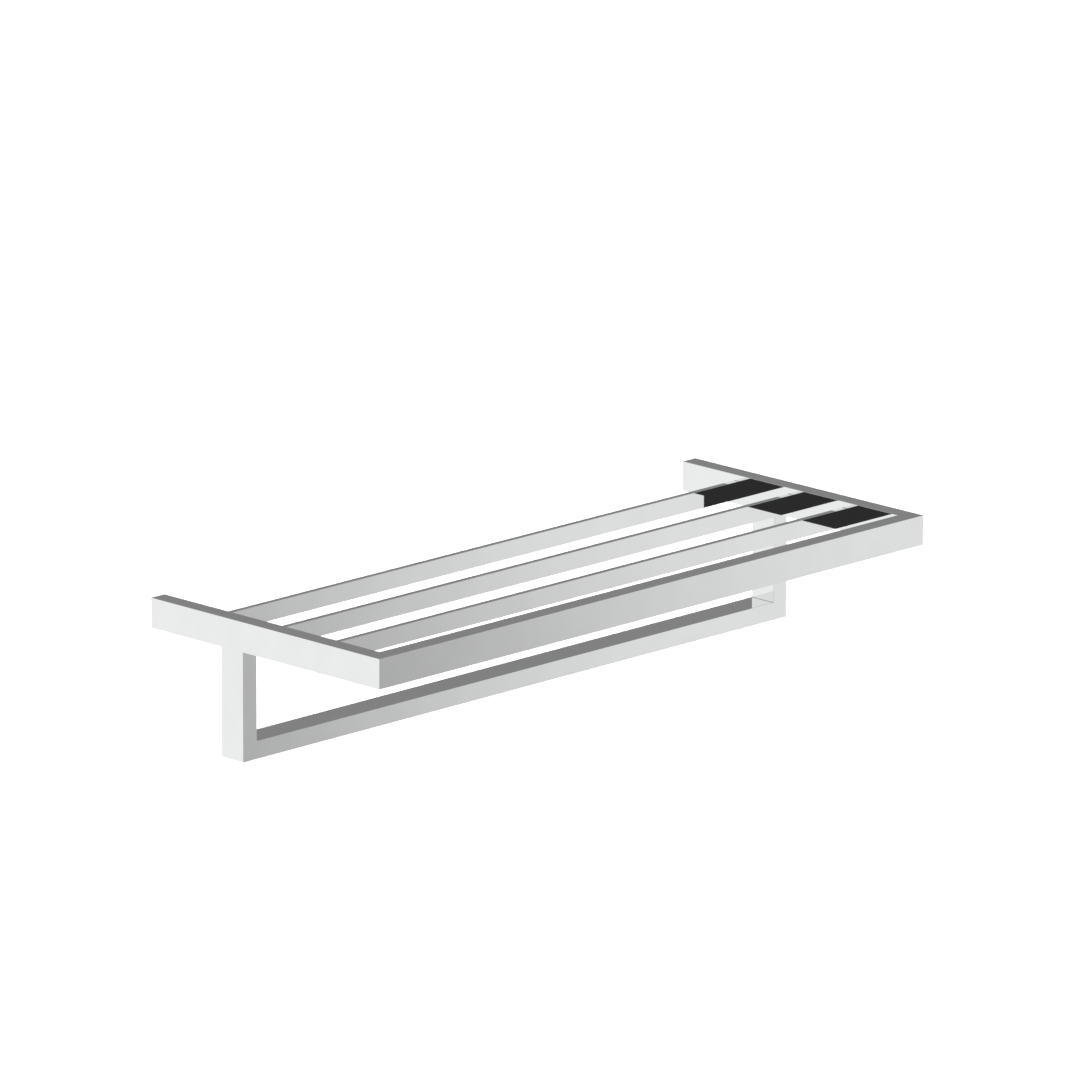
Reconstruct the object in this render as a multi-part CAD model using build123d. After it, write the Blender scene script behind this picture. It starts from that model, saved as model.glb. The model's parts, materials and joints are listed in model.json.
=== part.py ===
from build123d import *
import os

# A wall-mounted towel rack: an open shelf of three flat slats with a towel rail hung below it.
# Millimetres. +Z is up, +X runs along the wall, and the rack reaches out from the wall along -Y.
# The origin lies on the wall, midway between the two wall screws.

# Overall size
WIDTH = 625.0
DEPTH = 260.0
HEIGHT = 116.0

# Rectangular tube of the arms, front bar, posts and rail
TUBE_BROAD = 25.0
TUBE_NARROW = 15.0
TUBE_WALL = 2.0

# Radius of the polished edges, and of the braze metal dressed smooth in the inside corners
EDGE_RADIUS = 0.15
BRAZE_RADIUS = 0.5

# Faces meet in a sharp edge where their directions differ by more than this, in degrees
SHARP_ANGLE = 60.0

# Middle of the towel rail, which hangs below the arms
RAIL_FROM_WALL = 93.0

# Flat bars that carry the towels, from the wall outwards
SLAT_NAMES = ("slat_back", "slat_middle", "slat_front")
SLAT_HEIGHT = 15.0
SLAT_THICKNESS = 5.0
SLAT_PITCH = 61.5
BACK_SLAT_FROM_WALL = 62.5

# Tenons at the slats' ends, through slots in the arms' inner walls
TENON_HEIGHT = 11.0
TENON_THICKNESS = 3.0
TENON_LENGTH = 3.0

# L-shaped keys that fill the bore of the tubes at the mitred corners
KEY_LEG = 34.0
LEAD_IN = 1.0

# Spigots in the tops of the posts, with a tongue up through the arm's lower wall
SPIGOT_LENGTH = 20.0
TONGUE_WIDTH = 6.0
TONGUE_DEPTH = 15.0
TONGUE_HEIGHT = 4.0

# Wall brackets in the open ends of the arms, which rest on the brackets' top faces
BRACKET_DEPTH = 22.0
BRACKET_CLEARANCE = 0.15
SCREW_HOLE_RADIUS = 2.6
COUNTERSINK_RADIUS = 4.6
COUNTERSINK_ANGLE = 90.0

# Cone-point set screws, up through the arms' lower walls and into the brackets
SET_SCREW_RADIUS = 2.45
SET_SCREW_LENGTH = 5.0
SET_SCREW_RECESS = 0.2
SET_SCREW_FROM_WALL = 14.0
SOCKET_ACROSS_FLATS = 2.5
SOCKET_DEPTH = 2.0
TAPPED_HOLE_RADIUS = 2.5
SEAT_CLEARANCE = 0.1

# How far a cutting shape runs past what it cuts
BEYOND = 5.0

# Places that follow from the sizes above
OUTER_X = WIDTH / 2
INNER_X = OUTER_X - TUBE_NARROW
ARM_X = OUTER_X - TUBE_NARROW / 2
ARM_TOP = TUBE_BROAD / 2
ARM_BOTTOM = -TUBE_BROAD / 2
BORE_BROAD = TUBE_BROAD - 2 * TUBE_WALL
BORE_NARROW = TUBE_NARROW - 2 * TUBE_WALL
FRONT_BAR_BACK = TUBE_NARROW - DEPTH
RAIL_BOTTOM = ARM_TOP - HEIGHT
RAIL_TOP = RAIL_BOTTOM + TUBE_NARROW
POST_Y = -RAIL_FROM_WALL


def block(x, y, z):
    """A box between a low and a high limit on each axis."""
    spans = (x, y, z)
    sizes = [high - low for low, high in spans]
    centre = [(high + low) / 2 for low, high in spans]
    return Pos(*centre) * Box(*sizes)


def around(centre, size):
    """The low and high limits of a size centred on a place."""
    return centre - size / 2, centre + size / 2


def shelf_loop(inset):
    """The two arms and the front bar as one U, open at the wall, drawn in from the tubes' outside."""
    outside = block(
        (inset - OUTER_X, OUTER_X - inset),
        (inset - DEPTH, 0),
        (ARM_BOTTOM + inset, ARM_TOP - inset),
    )
    opening = block(
        (-INNER_X - inset, INNER_X + inset),
        (FRONT_BAR_BACK - inset, BEYOND),
        (ARM_BOTTOM - BEYOND, ARM_TOP + BEYOND),
    )
    return outside - opening


def drop_loop(inset):
    """The two posts and the rail as one U, open at the arms, drawn in from the tubes' outside."""
    depth = TUBE_BROAD - 2 * inset
    outside = block(
        (inset - OUTER_X, OUTER_X - inset),
        around(POST_Y, depth),
        (RAIL_BOTTOM + inset, ARM_BOTTOM),
    )
    opening = block(
        (-INNER_X - inset, INNER_X + inset),
        around(POST_Y, depth + BEYOND),
        (RAIL_TOP - inset, ARM_BOTTOM + BEYOND),
    )
    return outside - opening


def sharp_edges(shape):
    """The edges whose two faces differ in direction by more than the sharp angle."""

    def is_sharp(edge):
        first, second = (face.normal_at(edge @ 0.5) for face in shape.faces() if edge in face.edges())
        return first.get_angle(second) > SHARP_ANGLE

    return shape.edges().filter_by(is_sharp)


def polished_frame():
    """All the tubes as one hollow frame, rounded at its edges and corners but square at the wall."""
    frame = shelf_loop(0) + drop_loop(0)
    frame = fillet(frame.edges().filter_by(Edge.is_interior), BRAZE_RADIUS)
    wall_edges = frame.edges().filter_by_position(Axis.Y, 0, 0)
    frame = fillet(sharp_edges(frame) - wall_edges, EDGE_RADIUS)
    return frame - shelf_loop(TUBE_WALL) - drop_loop(TUBE_WALL)


def cross_bar_zone(plane, outer_edge):
    """The space of a tube that runs across the rack between two mitres, both at 45 degrees."""
    near = outer_edge - BEYOND
    far = outer_edge + TUBE_NARROW + BEYOND
    outline = Polyline(
        (-OUTER_X - BEYOND, near),
        (OUTER_X + BEYOND, near),
        (INNER_X - BEYOND, far),
        (BEYOND - INNER_X, far),
        close=True,
    )
    return extrude(plane * make_face(outline), TUBE_BROAD / 2 + BEYOND, both=True)


def frame_tubes():
    """The frame cut apart at its mitres and under its arms: the cross tubes, an arm and a post."""
    frame = polished_frame()
    front_zone = cross_bar_zone(Plane.XY, -DEPTH)
    rail_zone = cross_bar_zone(Plane.XZ.offset(RAIL_FROM_WALL), RAIL_BOTTOM)
    sides = frame - front_zone - rail_zone
    arm_zone = block((0, OUTER_X), (-DEPTH, 0), (ARM_BOTTOM, ARM_TOP))
    post_zone = block((0, OUTER_X), (-DEPTH, 0), (RAIL_BOTTOM, ARM_BOTTOM))
    return frame & front_zone, frame & rail_zone, sides & arm_zone, sides & post_zone


def slat_places():
    """Each slat's name and where its middle plane stands."""
    for turn, name in enumerate(SLAT_NAMES):
        yield name, -BACK_SLAT_FROM_WALL - turn * SLAT_PITCH


def tenon_bar(y):
    """The bar that runs the length of a slat and out of both its ends as tenons."""
    reach = INNER_X + TENON_LENGTH
    return block((-reach, reach), around(y, TENON_THICKNESS), around(0, TENON_HEIGHT))


def slat(y):
    """A flat bar on edge, with rounded long edges, braze above and below both ends, and two tenons."""
    between_arms = Rectangle(2 * INNER_X, TUBE_BROAD)
    arms = Rectangle(WIDTH, TUBE_BROAD) - between_arms
    joined = Rectangle(2 * INNER_X, SLAT_HEIGHT) + arms
    inside_corners = joined.vertices().filter_by_position(Axis.Y, -SLAT_HEIGHT / 2, SLAT_HEIGHT / 2)
    side_view = fillet(inside_corners, BRAZE_RADIUS) & between_arms
    bar = extrude(Plane.XZ.offset(-y) * side_view, SLAT_THICKNESS / 2, both=True)
    long_edges = bar.edges() - bar.edges().filter_by(Axis.Y) - bar.edges().filter_by(Axis.Z)
    return fillet(long_edges, EDGE_RADIUS) + tenon_bar(y)


def spigot_tongue():
    """The tongue that stands on a spigot and goes up through the arm's lower wall."""
    return block(
        around(ARM_X, TONGUE_WIDTH),
        around(POST_Y, TONGUE_DEPTH),
        (ARM_BOTTOM, ARM_BOTTOM + TONGUE_HEIGHT),
    )


def post_spigot():
    """A plug in the top of a post's bore, with its tongue."""
    plug = block(
        around(ARM_X, BORE_NARROW),
        around(POST_Y, BORE_BROAD),
        (ARM_BOTTOM - SPIGOT_LENGTH, ARM_BOTTOM),
    )
    lower_rim = plug.edges().group_by(Axis.Z)[0]
    return chamfer(lower_rim, LEAD_IN) + spigot_tongue()


def corner_key(loop, corner, leg_axis):
    """The bore of a loop near one corner: one leg runs inwards along X, the other along an axis."""
    key = loop & (Pos(*corner) * Box(2 * KEY_LEG, 2 * KEY_LEG, 2 * KEY_LEG))
    leg_ends = key.edges().group_by(Axis.X)[0] + key.edges().group_by(leg_axis)[-1]
    return chamfer(leg_ends, LEAD_IN)


def front_corner_key():
    """The key between an arm and the front bar."""
    corner = (OUTER_X - TUBE_WALL, TUBE_WALL - DEPTH, 0)
    return corner_key(shelf_loop(TUBE_WALL), corner, Axis.Y)


def rail_corner_key():
    """The key between a post and the rail."""
    corner = (OUTER_X - TUBE_WALL, POST_Y, RAIL_BOTTOM + TUBE_WALL)
    return corner_key(drop_loop(TUBE_WALL), corner, Axis.Z)


def screw_blank(extra):
    """A set screw's outline with no socket, standing point up, larger all over by a clearance."""
    radius = SET_SCREW_RADIUS + extra
    outer_end = ARM_BOTTOM + SET_SCREW_RECESS
    tip = outer_end + SET_SCREW_LENGTH + extra
    shank_length = tip - radius - outer_end
    shank = Pos(Z=outer_end + shank_length / 2) * Cylinder(radius, shank_length)
    point = Pos(Z=tip - radius / 2) * Cone(radius, 0, radius)
    return Pos(ARM_X, -SET_SCREW_FROM_WALL) * (shank + point)


def set_screw():
    """A grub screw with a cone point at its top and a hexagon socket in its lower end."""
    hexagon = RegularPolygon(SOCKET_ACROSS_FLATS / 2, 6, major_radius=False)
    socket = extrude(hexagon, SOCKET_DEPTH)
    outer_end = Pos(ARM_X, -SET_SCREW_FROM_WALL, ARM_BOTTOM + SET_SCREW_RECESS)
    return screw_blank(0) - outer_end * socket


def wall_bracket():
    """A block flat on the wall, with a countersunk screw hole and a seat for the set screw."""
    body = block(
        around(ARM_X, BORE_NARROW - 2 * BRACKET_CLEARANCE),
        (-BRACKET_DEPTH, 0),
        (2 * BRACKET_CLEARANCE - BORE_BROAD / 2, BORE_BROAD / 2),
    )
    room_face = Plane((ARM_X, -BRACKET_DEPTH, 0), z_dir=(0, -1, 0))
    hole = CounterSinkHole(
        SCREW_HOLE_RADIUS,
        COUNTERSINK_RADIUS,
        depth=BRACKET_DEPTH + BEYOND,
        counter_sink_angle=COUNTERSINK_ANGLE,
    )
    return body - room_face * hole - screw_blank(SEAT_CLEARANCE)


def side_arm(tube):
    """An arm's tube with its slots for the tenons and the tongue, and its tapped hole."""
    for _, y in slat_places():
        tube -= tenon_bar(y)
    hole = Cylinder(TAPPED_HOLE_RADIUS, 2 * TUBE_WALL + BEYOND)
    return tube - spigot_tongue() - Pos(ARM_X, -SET_SCREW_FROM_WALL, ARM_BOTTOM) * hole


def main():
    front_bar, towel_rail, arm_tube, post_tube = frame_tubes()
    pieces = {"front_bar": front_bar, "towel_rail": towel_rail}
    pieces |= {name: slat(y) for name, y in slat_places()}
    right_hand = {
        "side_arm": side_arm(arm_tube),
        "drop_post": post_tube,
        "front_corner_key": front_corner_key(),
        "rail_corner_key": rail_corner_key(),
        "post_spigot": post_spigot(),
        "wall_bracket": wall_bracket(),
        "set_screw": set_screw(),
    }
    for name, piece in right_hand.items():
        pieces[f"{name}_right"] = piece
        pieces[f"{name}_left"] = mirror(piece, Plane.YZ)

    os.makedirs("parts", exist_ok=True)
    for name, piece in pieces.items():
        export_step(piece, f"parts/{name}.step")


main()
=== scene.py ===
import json
import math

import bpy
from mathutils import Matrix, Vector


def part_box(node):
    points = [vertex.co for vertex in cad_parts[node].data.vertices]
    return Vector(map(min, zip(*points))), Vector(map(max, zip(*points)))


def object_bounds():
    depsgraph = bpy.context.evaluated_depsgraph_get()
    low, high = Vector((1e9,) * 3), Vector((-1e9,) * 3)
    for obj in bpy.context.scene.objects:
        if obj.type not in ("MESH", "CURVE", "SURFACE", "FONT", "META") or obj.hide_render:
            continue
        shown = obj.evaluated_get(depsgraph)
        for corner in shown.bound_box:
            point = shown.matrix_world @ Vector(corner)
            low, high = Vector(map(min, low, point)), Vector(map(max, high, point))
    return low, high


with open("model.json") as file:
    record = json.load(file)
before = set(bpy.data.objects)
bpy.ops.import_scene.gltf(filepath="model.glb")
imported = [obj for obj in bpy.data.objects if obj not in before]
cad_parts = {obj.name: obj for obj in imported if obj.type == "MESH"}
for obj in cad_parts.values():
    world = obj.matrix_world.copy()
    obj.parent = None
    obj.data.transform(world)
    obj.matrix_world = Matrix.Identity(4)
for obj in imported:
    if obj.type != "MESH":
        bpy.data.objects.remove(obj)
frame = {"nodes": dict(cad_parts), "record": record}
cad_low, cad_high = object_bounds()
middle = (cad_low + cad_high) / 2
scene = bpy.context.scene

# Camera: a long lens, from the room's left and above
VIEW_TURN = math.radians(45.28)
VIEW_DOWN = math.radians(15.01)
VIEW_ROLL = math.radians(0.12)
VIEW_DISTANCE = 11.39
VIEW_OFF_MIDDLE = Vector((0.0019, 0.0037, 0.0703))
LENS_MM = 469.4
SENSOR_MM = 36.0
VIEW_REACH = 200.0

# Floor: well below the rack, as below a rack on a wall
FLOOR_DROP = 1.2
FLOOR_SIZE = 120.0
FLOOR_GREY = 0.90
FLOOR_ROUGHNESS = 0.9

# Key light: a wide sun, nearly overhead
SUN_STRENGTH = 4.2
SUN_SPREAD = math.radians(30.0)
SUN_TILT = (math.radians(12.0), math.radians(-8.0), 0.0)

# Headings are in degrees, anticlockwise from +X as seen from above. Chrome that is seen
# from above shows what stands below the horizon, so the cards look up at the rack.
FRONT_HEADING = -45.0
BRIGHT_HEADING = 45.0
SOFT_BOX_HEADING = 135.0
DARK_HEADING = -135.0

# Surroundings: brightness by rise, the sine of the angle above the horizon
GROUND_RISES = (-1.0, -0.4)
GROUND_GREYS = (0.36, 0.64)
SKY_RISES = (0.36, 1.0)
SKY_GREYS = (0.26, 0.80)
HORIZON_RISES = (-0.02, 0.06)
BRIGHT_LIFT = 0.20
SOFT_BOX_GREY = 1.04
SOFT_BOX_SIDES = (0.82, 0.96)
SOFT_BOX_FOOT = (-0.75, -0.45)
SOFT_BOX_TOP = (0.42, 0.30)

# Cards: width, height and soft border in metres. Their greys are two pairs of
# (place across the card, brightness), and the grey goes smoothly from the first to the second.
# Those of the ring's cards are listed by heading.
CARD_DISTANCE = 3.5
CARD_SIZE = (2.0, 2.2)
CARD_BORDER = 0.35
CARD_GREYS = {
    -90.0: ((0.20, 0.40), (0.80, 0.80)),
    0.0: ((0.30, 0.85), (0.70, 0.45)),
    45.0: ((0.25, 0.95), (0.75, 0.62)),
    90.0: ((0.20, 0.52), (0.80, 0.90)),
    180.0: ((0.30, 0.80), (0.70, 0.42)),
    -135.0: ((0.20, 0.28), (0.80, 0.60)),
}
FRONT_CARD_SIZE = (2.6, 2.2)
FRONT_CARD_GREYS = ((0.405, 0.902), (0.68, 0.458))
FRONT_CARD_ROLL = math.radians(-18.0)
DARK_CARD_DISTANCE = 1.35
DARK_CARD_SIZE = (0.6, 0.45)
DARK_CARD_BORDER = 0.1
DARK_CARD_GREYS = ((0.0, 0.036), (1.0, 0.036))

# Chrome: a little less red than a neutral grey, and polished along each tube. Its brightness
# and part of its roughness follow the haze. Scales are features in a metre, depths are metres,
# and a stretch is how fast a pattern changes along an axis compared with across it.
CHROME_TINT = (0.985, 1.0, 0.992)
CHROME_GREYS = ((0.3, 0.795), (0.7, 0.815))
CHROME_ROUGHNESS = 0.018
HAZE_SCALE = 35.0
HAZE_DETAIL = 3.0
HAZE_ROUGHNESS = 0.02
GRAIN_SCALE = 4000.0
GRAIN_STRETCH = 0.02
GRAIN_ROUGHNESS = 0.012
GRAIN_DEPTH = 2e-8
WAVE_SCALE = 260.0
WAVE_DEPTH = 4e-7

# Plain steel: name, brightness, roughness and number of marks in a metre. Where the marks'
# noise is low the steel is darkest and smoothest, and where it is high palest and roughest.
STEELS = (
    ("bracket_steel", 0.55, 0.34, 900.0),
    ("raw_steel", 0.40, 0.45, 700.0),
    ("screw_steel", 0.45, 0.30, 1500.0),
)
STEEL_MARK_RANGE = (0.3, 0.7)
STEEL_MARK_DETAIL = 4.0
STEEL_MARK_STRETCH = (1.0, 1.0, 0.12)
STEEL_MARK_DEPTH = 4e-5
STEEL_DARKEST = 0.80
STEEL_ROUGHNESS_SPAN = 0.06


# ---------------------------------------------------------------- node helpers

def link_or_set(tree, socket, value):
    """Joins a socket to another socket, or gives it a plain value."""
    if isinstance(value, bpy.types.NodeSocket):
        tree.links.new(value, socket)
    else:
        socket.default_value = value


def maths(tree, operation, first, second=0.0):
    """One arithmetic step on sockets or numbers."""
    node = tree.nodes.new("ShaderNodeMath")
    node.operation = operation
    link_or_set(tree, node.inputs[0], first)
    link_or_set(tree, node.inputs[1], second)
    return node.outputs[0]


def eased(tree, value, places, limits=(0.0, 1.0)):
    """A value carried smoothly between two limits while it goes between two places."""
    node = tree.nodes.new("ShaderNodeMapRange")
    node.interpolation_type = "SMOOTHSTEP"
    tree.links.new(value, node.inputs["Value"])
    node.inputs["From Min"].default_value, node.inputs["From Max"].default_value = places
    node.inputs["To Min"].default_value, node.inputs["To Max"].default_value = limits
    return node.outputs["Result"]


def mixed(tree, factor, first, second):
    """The first value where the factor is 0, the second where it is 1."""
    node = tree.nodes.new("ShaderNodeMix")
    link_or_set(tree, node.inputs["Factor"], factor)
    link_or_set(tree, node.inputs["A"], first)
    link_or_set(tree, node.inputs["B"], second)
    return node.outputs["Result"]


def axes_of(tree, vector):
    """The three parts of a vector."""
    node = tree.nodes.new("ShaderNodeSeparateXYZ")
    tree.links.new(vector, node.inputs[0])
    return node.outputs


def grey_ramp(tree, value, stops, tint=(1.0, 1.0, 1.0)):
    """A smooth grey, or a tint of it, between two stops of (place, brightness)."""
    node = tree.nodes.new("ShaderNodeValToRGB")
    node.color_ramp.interpolation = "EASE"
    for element, (place, grey) in zip(node.color_ramp.elements, stops):
        element.position = place
        element.color = (*(grey * part for part in tint), 1.0)
    tree.links.new(value, node.inputs["Fac"])
    return node.outputs["Color"]


def place_coordinates(tree, scale=(1.0, 1.0, 1.0)):
    """Coordinates in metres in the rack's own frame, times a scale for each axis."""
    source = tree.nodes.new("ShaderNodeTexCoord")
    mapping = tree.nodes.new("ShaderNodeMapping")
    mapping.inputs["Scale"].default_value = scale
    tree.links.new(source.outputs["Object"], mapping.inputs["Vector"])
    return mapping.outputs["Vector"]


def generated_coordinates(tree):
    """The parts of the direction in the world, and of the place from 0 to 1 on a card."""
    return axes_of(tree, tree.nodes.new("ShaderNodeTexCoord").outputs["Generated"])


def noise(tree, vector, scale, detail=2.0):
    """Smooth noise of about 0 to 1."""
    node = tree.nodes.new("ShaderNodeTexNoise")
    node.inputs["Scale"].default_value = scale
    node.inputs["Detail"].default_value = detail
    tree.links.new(vector, node.inputs["Vector"])
    return node.outputs["Fac"]


def bump(tree, height, depth, normal=None):
    """A surface normal tilted by a height map, whose full range stands for a depth in metres."""
    node = tree.nodes.new("ShaderNodeBump")
    node.inputs["Strength"].default_value = 1.0
    node.inputs["Distance"].default_value = depth
    tree.links.new(height, node.inputs["Height"])
    if normal is not None:
        tree.links.new(normal, node.inputs["Normal"])
    return node.outputs["Normal"]


def new_material(name):
    """A material as Blender starts it, as (material, tree, principled shader)."""
    material = bpy.data.materials.new(name)
    material.use_nodes = True
    tree = material.node_tree
    return material, tree, tree.nodes["Principled BSDF"]


# ---------------------------------------------------------------- camera and stage

def make_camera():
    """A camera that looks at a place a little above the rack's middle."""
    forward = Vector((
        math.sin(VIEW_TURN) * math.cos(VIEW_DOWN),
        math.cos(VIEW_TURN) * math.cos(VIEW_DOWN),
        -math.sin(VIEW_DOWN),
    ))
    level = Vector((math.cos(VIEW_TURN), -math.sin(VIEW_TURN), 0.0))
    right = Matrix.Rotation(-VIEW_ROLL, 3, forward) @ level
    up = right.cross(forward)
    data = bpy.data.cameras.new("camera")
    data.lens = LENS_MM
    data.sensor_width = SENSOR_MM
    data.clip_end = VIEW_REACH
    camera = bpy.data.objects.new("camera", data)
    scene.collection.objects.link(camera)
    place = middle + VIEW_OFF_MIDDLE - forward * VIEW_DISTANCE
    turn = Matrix((right, up, -forward)).transposed()
    camera.matrix_world = Matrix.Translation(place) @ turn.to_4x4()
    scene.camera = camera


def pointing(heading, down=VIEW_DOWN):
    """The direction of a heading, tilted down by an angle."""
    turn = math.radians(heading)
    level = Vector((math.cos(turn), math.sin(turn), 0.0)) * math.cos(down)
    return level - Vector((0.0, 0.0, math.sin(down)))


def likeness(tree, parts, heading):
    """From -1 to 1, how nearly a direction has a heading."""
    level = pointing(heading, down=0.0)
    along_x = maths(tree, "MULTIPLY", parts["X"], level.x)
    along_y = maths(tree, "MULTIPLY", parts["Y"], level.y)
    rise_squared = maths(tree, "MULTIPLY", parts["Z"], parts["Z"])
    spread = maths(tree, "SQRT", maths(tree, "SUBTRACT", 1.0, rise_squared))
    return maths(tree, "DIVIDE", maths(tree, "ADD", along_x, along_y), spread)


def studio_grey(tree):
    """Brightness of ground that pales and sky that dims to the horizon, and of a soft box."""
    parts = generated_coordinates(tree)
    rise = parts["Z"]
    lift = maths(tree, "MULTIPLY", likeness(tree, parts, BRIGHT_HEADING), BRIGHT_LIFT)
    ground = maths(tree, "ADD", lift, eased(tree, rise, GROUND_RISES, GROUND_GREYS))
    sky = eased(tree, rise, SKY_RISES, SKY_GREYS)
    room = mixed(tree, eased(tree, rise, HORIZON_RISES), ground, sky)
    across = eased(tree, likeness(tree, parts, SOFT_BOX_HEADING), SOFT_BOX_SIDES)
    foot = eased(tree, rise, SOFT_BOX_FOOT)
    top = eased(tree, rise, SOFT_BOX_TOP)
    soft_box = maths(tree, "MULTIPLY", across, maths(tree, "MULTIPLY", foot, top))
    return mixed(tree, soft_box, room, SOFT_BOX_GREY)


def make_world():
    """The studio's surroundings, which the camera itself sees as plain white."""
    world = bpy.data.worlds.new("studio")
    world.use_nodes = True
    scene.world = world
    tree = world.node_tree
    backdrop = tree.nodes["Background"]
    tree.links.new(studio_grey(tree), backdrop.inputs["Color"])
    white = tree.nodes.new("ShaderNodeBackground")
    white.inputs["Color"].default_value = (1.0, 1.0, 1.0, 1.0)
    mix = tree.nodes.new("ShaderNodeMixShader")
    light_path = tree.nodes.new("ShaderNodeLightPath")
    tree.links.new(light_path.outputs["Is Camera Ray"], mix.inputs[0])
    tree.links.new(backdrop.outputs[0], mix.inputs[1])
    tree.links.new(white.outputs[0], mix.inputs[2])
    tree.links.new(mix.outputs[0], tree.nodes["World Output"].inputs["Surface"])


def make_floor():
    """A pale floor under the whole view."""
    place = (middle.x, middle.y, cad_low.z - FLOOR_DROP)
    bpy.ops.mesh.primitive_plane_add(size=FLOOR_SIZE, location=place)
    floor = bpy.context.object
    floor.name = "floor"
    material, _, shader = new_material("pale_floor")
    shader.inputs["Base Color"].default_value = (FLOOR_GREY, FLOOR_GREY, FLOOR_GREY, 1.0)
    shader.inputs["Roughness"].default_value = FLOOR_ROUGHNESS
    floor.data.materials.append(material)
    floor.visible_glossy = False


def make_key_light():
    """Soft light from overhead, too wide to throw a hard shadow."""
    data = bpy.data.lights.new("key", "SUN")
    data.energy = SUN_STRENGTH
    data.angle = SUN_SPREAD
    light = bpy.data.objects.new("key", data)
    light.rotation_euler = SUN_TILT
    light.visible_glossy = False
    scene.collection.objects.link(light)


def card_material(name, size, border, greys):
    """A glow that changes across a card and fades out at all four of its borders."""
    material = bpy.data.materials.new(name)
    material.use_nodes = True
    tree = material.node_tree
    tree.nodes.clear()
    across = generated_coordinates(tree)
    mask = 1.0
    for axis, length in zip("XY", size):
        fade = border / length
        near_end = eased(tree, across[axis], (0.0, fade))
        far_end = eased(tree, across[axis], (1.0, 1.0 - fade))
        mask = maths(tree, "MULTIPLY", mask, maths(tree, "MULTIPLY", near_end, far_end))
    places, limits = zip(*greys)
    glow = tree.nodes.new("ShaderNodeEmission")
    tree.links.new(eased(tree, across["X"], places, limits), glow.inputs["Color"])
    clear = tree.nodes.new("ShaderNodeBsdfTransparent")
    mix = tree.nodes.new("ShaderNodeMixShader")
    tree.links.new(mask, mix.inputs[0])
    tree.links.new(clear.outputs[0], mix.inputs[1])
    tree.links.new(glow.outputs[0], mix.inputs[2])
    output = tree.nodes.new("ShaderNodeOutputMaterial")
    tree.links.new(mix.outputs[0], output.inputs["Surface"])
    return material


def make_card(name, start, heading, distance, size, border, greys, roll=0.0):
    """A studio card that stands off a start in a heading, and is seen only in reflections."""
    away = pointing(heading)
    bpy.ops.mesh.primitive_plane_add(size=1.0)
    card = bpy.context.object
    card.name = name
    turn = (-away).to_track_quat("Z", "Y").to_matrix().to_4x4() @ Matrix.Rotation(roll, 4, "Z")
    place = Matrix.Translation(start + away * distance)
    card.matrix_world = place @ turn @ Matrix.Diagonal((*size, 1.0, 1.0))
    card.data.materials.append(card_material(name, size, border, greys))
    card.visible_camera = False
    card.visible_diffuse = False
    card.visible_shadow = False
    card.visible_transmission = False


def make_cards():
    """The card that front faces show, a small dark one that the right arm shows, and a ring."""
    make_card(
        "front_card", middle, FRONT_HEADING, CARD_DISTANCE,
        FRONT_CARD_SIZE, CARD_BORDER, FRONT_CARD_GREYS, roll=FRONT_CARD_ROLL,
    )
    right_arm_top = Vector((cad_high.x, middle.y, cad_high.z))
    make_card(
        "dark_card", right_arm_top, DARK_HEADING, DARK_CARD_DISTANCE,
        DARK_CARD_SIZE, DARK_CARD_BORDER, DARK_CARD_GREYS,
    )
    for heading, greys in CARD_GREYS.items():
        name = f"card_{heading:.0f}"
        make_card(name, middle, heading, CARD_DISTANCE, CARD_SIZE, CARD_BORDER, greys)


# ---------------------------------------------------------------- materials

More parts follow.
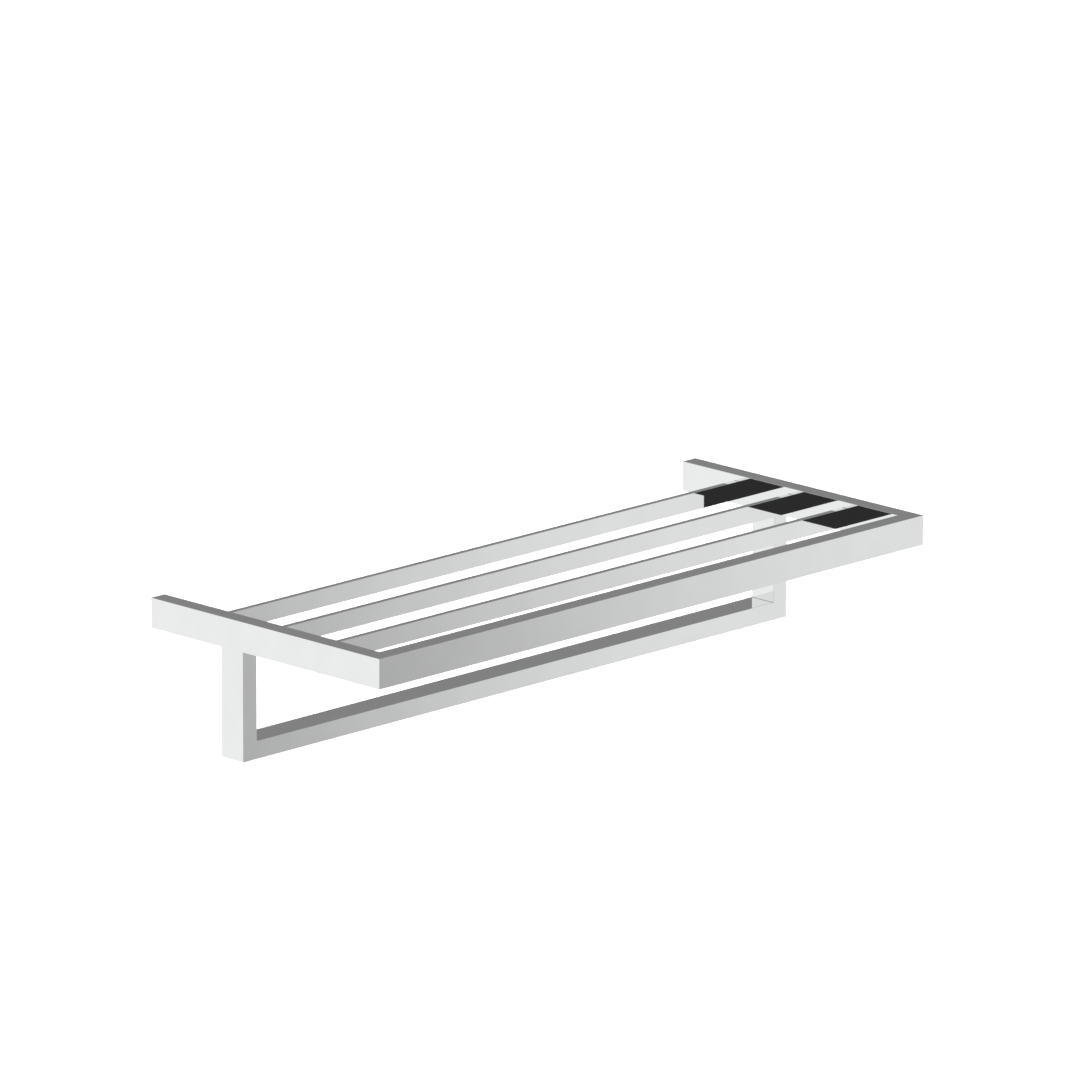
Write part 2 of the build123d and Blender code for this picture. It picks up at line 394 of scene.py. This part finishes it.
def chrome(axis):
    """Mirror-polished chrome, with the faint trace of polishing along the tube's length."""
    material, tree, shader = new_material(f"chrome_{'xyz'[axis]}")
    place = place_coordinates(tree)
    grain_scale = [1.0, 1.0, 1.0]
    grain_scale[axis] = GRAIN_STRETCH
    grain = noise(tree, place_coordinates(tree, grain_scale), GRAIN_SCALE)
    haze = noise(tree, place, HAZE_SCALE, HAZE_DETAIL)
    waves = noise(tree, place, WAVE_SCALE)
    grain_rough = maths(tree, "MULTIPLY", grain, GRAIN_ROUGHNESS)
    haze_rough = maths(tree, "MULTIPLY", haze, HAZE_ROUGHNESS)
    rough = maths(tree, "ADD", maths(tree, "ADD", grain_rough, haze_rough), CHROME_ROUGHNESS)
    tree.links.new(rough, shader.inputs["Roughness"])
    tone = grey_ramp(tree, haze, CHROME_GREYS, CHROME_TINT)
    tree.links.new(tone, shader.inputs["Base Color"])
    shader.inputs["Metallic"].default_value = 1.0
    normal = bump(tree, grain, GRAIN_DEPTH, normal=bump(tree, waves, WAVE_DEPTH))
    tree.links.new(normal, shader.inputs["Normal"])
    return material


def steel(name, grey, roughness, marks):
    """Plain steel with a matt finish and upright tool marks."""
    material, tree, shader = new_material(name)
    pattern = noise(tree, place_coordinates(tree, STEEL_MARK_STRETCH), marks, STEEL_MARK_DETAIL)
    tone = grey_ramp(tree, pattern, zip(STEEL_MARK_RANGE, (grey * STEEL_DARKEST, grey)))
    tree.links.new(tone, shader.inputs["Base Color"])
    limits = (roughness - STEEL_ROUGHNESS_SPAN, roughness + STEEL_ROUGHNESS_SPAN)
    rough = eased(tree, pattern, STEEL_MARK_RANGE, limits)
    tree.links.new(rough, shader.inputs["Roughness"])
    shader.inputs["Metallic"].default_value = 1.0
    tree.links.new(bump(tree, pattern, STEEL_MARK_DEPTH), shader.inputs["Normal"])
    return material


def longest_axis(node):
    """0, 1 or 2 for the axis along which a node is longest."""
    low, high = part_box(node)
    size = high - low
    return max(range(3), key=lambda axis: size[axis])


def dress_nodes():
    """Gives every CAD node the material of its slot, with the chrome's grain along its length."""
    steels = {finish[0]: steel(*finish) for finish in STEELS}
    chromes = [chrome(axis) for axis in range(3)]
    for subpart in frame["record"]["subparts"]:
        name = subpart["node"]
        finish = steels.get(subpart["material_slot"]) or chromes[longest_axis(name)]
        materials = frame["nodes"][name].data.materials
        materials.clear()
        materials.append(finish)


scene.view_settings.view_transform = "Standard"
scene.view_settings.look = "None"
make_camera()
make_world()
make_floor()
make_key_light()
make_cards()
dress_nodes()
